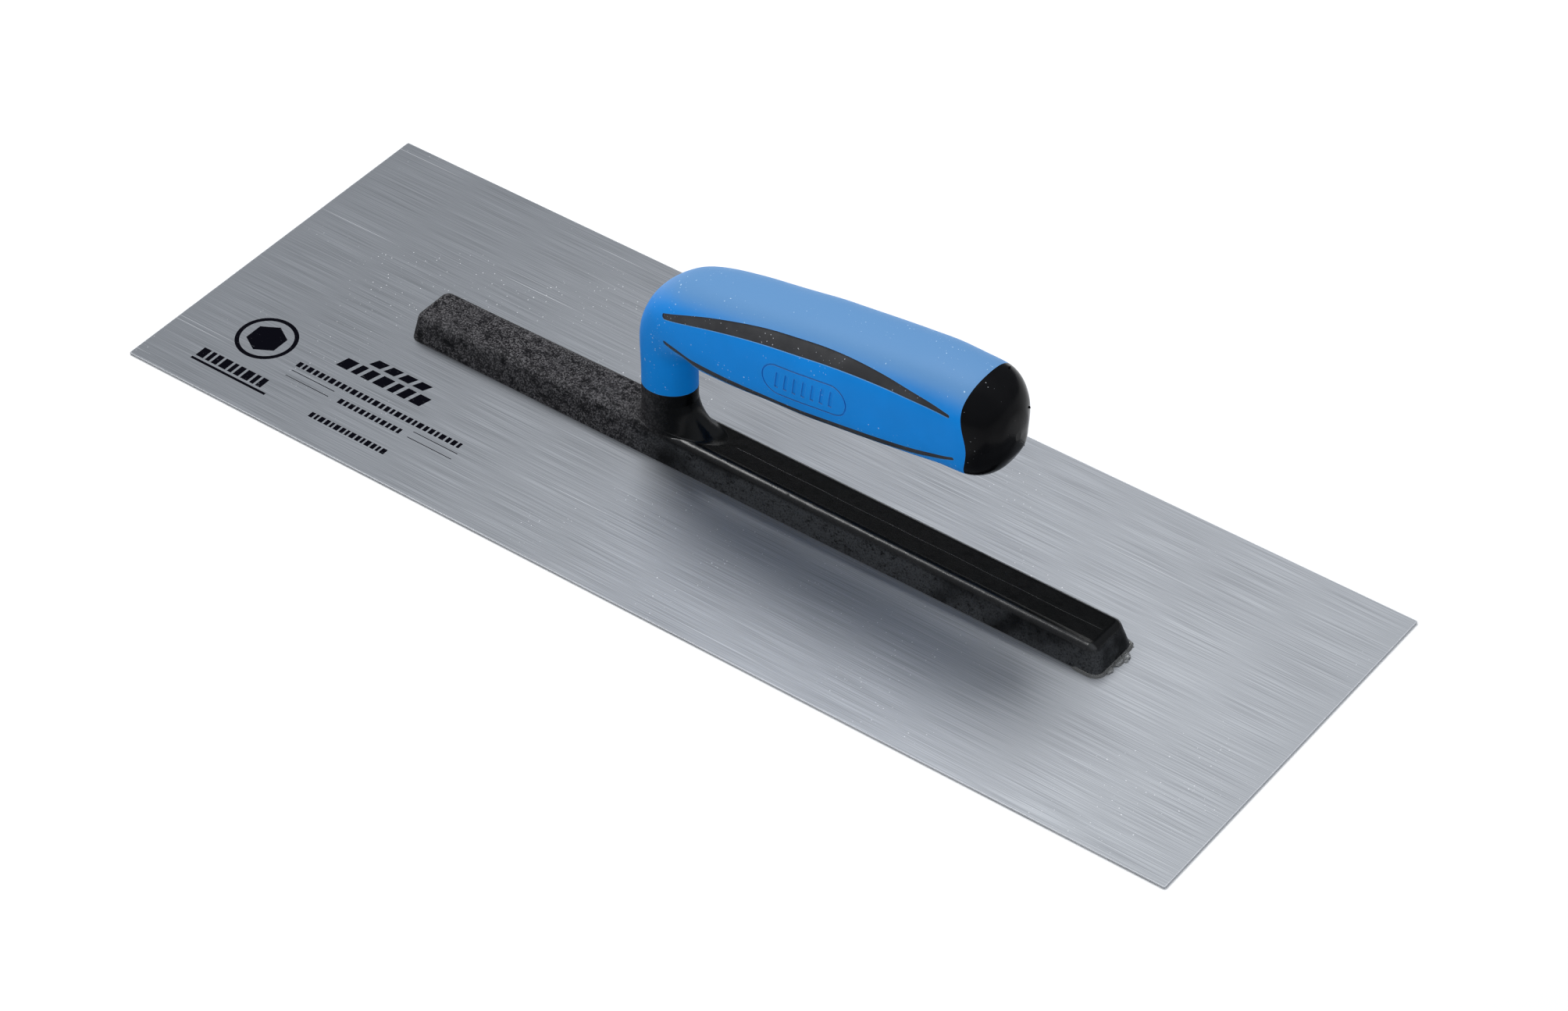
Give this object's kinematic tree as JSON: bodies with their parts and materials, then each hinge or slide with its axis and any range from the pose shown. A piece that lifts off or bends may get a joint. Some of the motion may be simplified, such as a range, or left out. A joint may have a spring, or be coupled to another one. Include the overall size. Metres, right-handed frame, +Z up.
{
  "type": "steel finishing trowel",
  "caption": "Finishing trowel with a flat rectangular steel blade, a black moulded beam bonded along it, and a blue soft grip with a rounded black end cap.",
  "frame": {"origin": "centre of the blade's working face, which is its underside", "axes": "+X along the blade towards the grip's free end, +Y across the blade, +Z up from the working face towards the grip"},
  "size_m": [0.4, 0.14, 0.0887],
  "materials": {
    "brushed_blade_steel": "fine lengthwise brushed grain",
    "stud_steel": "plain drawn steel",
    "clear_adhesive": "clear glossy cured adhesive",
    "black_nylon": "satin glass-filled nylon, dusty and mottled",
    "blue_soft_touch": "matte soft-touch elastomer",
    "dark_inlay": "matte dark grey elastomer",
    "gloss_black_cap": "semi-gloss black plastic"
  },
  "bodies": {
    "root": {"blade": "brushed_blade_steel", "weld_studs": "stud_steel", "adhesive_bed": "clear_adhesive", "spine_beam": "black_nylon", "grip_sleeve": "blue_soft_touch", "upper_inlay_left": "dark_inlay", "upper_inlay_right": "dark_inlay", "lower_inlay_left": "dark_inlay", "lower_inlay_right": "dark_inlay", "end_cap": "gloss_black_cap"}
  },
  "joints": []
}
